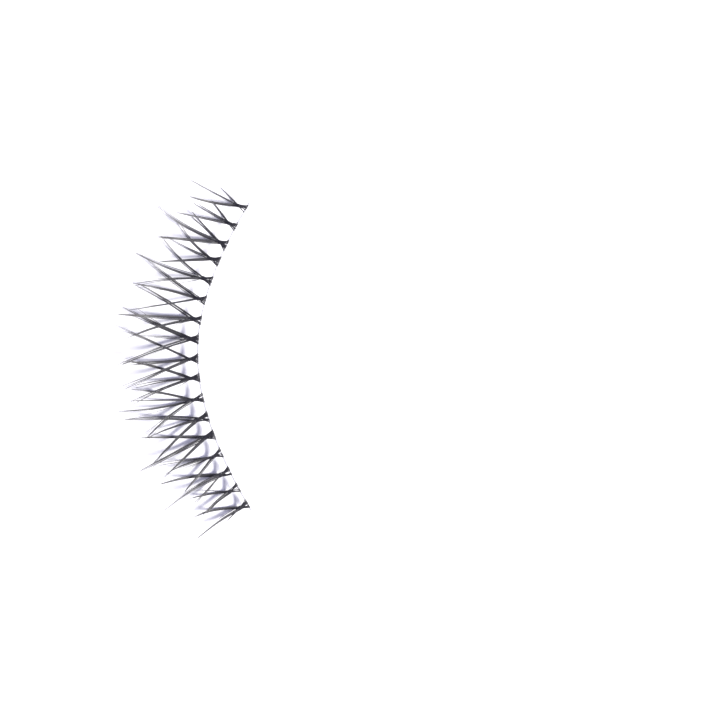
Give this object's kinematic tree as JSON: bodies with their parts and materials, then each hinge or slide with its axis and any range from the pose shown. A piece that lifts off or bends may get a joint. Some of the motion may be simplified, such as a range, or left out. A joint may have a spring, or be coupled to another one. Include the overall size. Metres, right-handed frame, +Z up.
{
  "type": "false eyelash strip",
  "caption": "Strip of false eyelashes: criss-cross tufts of dark tapered fibre tied along a fine clear band that follows the edge of the upper eyelid.",
  "frame": {"origin": "under the middle of the strip's box, at the height that its lowest lash bellies rest on", "axes": "+X along the strip from the inner to the outer corner of the eye, -Y the way the lashes point, +Z up"},
  "size_m": [0.0356, 0.0136, 0.0043],
  "materials": {
    "lash_fibre": "near-black synthetic hair with a soft satin sheen",
    "clear_band": "clear glossy nylon thread"
  },
  "bodies": {
    "root": {"band": "clear_band", "lash_tuft_01": "lash_fibre", "lash_tuft_02": "lash_fibre", "lash_tuft_03": "lash_fibre", "lash_tuft_04": "lash_fibre", "lash_tuft_05": "lash_fibre", "lash_tuft_06": "lash_fibre", "lash_tuft_07": "lash_fibre", "lash_tuft_08": "lash_fibre", "lash_tuft_09": "lash_fibre", "lash_tuft_10": "lash_fibre", "lash_tuft_11": "lash_fibre", "lash_tuft_12": "lash_fibre", "lash_tuft_13": "lash_fibre", "lash_tuft_14": "lash_fibre", "lash_tuft_15": "lash_fibre", "lash_tuft_16": "lash_fibre", "lash_tuft_17": "lash_fibre"}
  },
  "joints": []
}
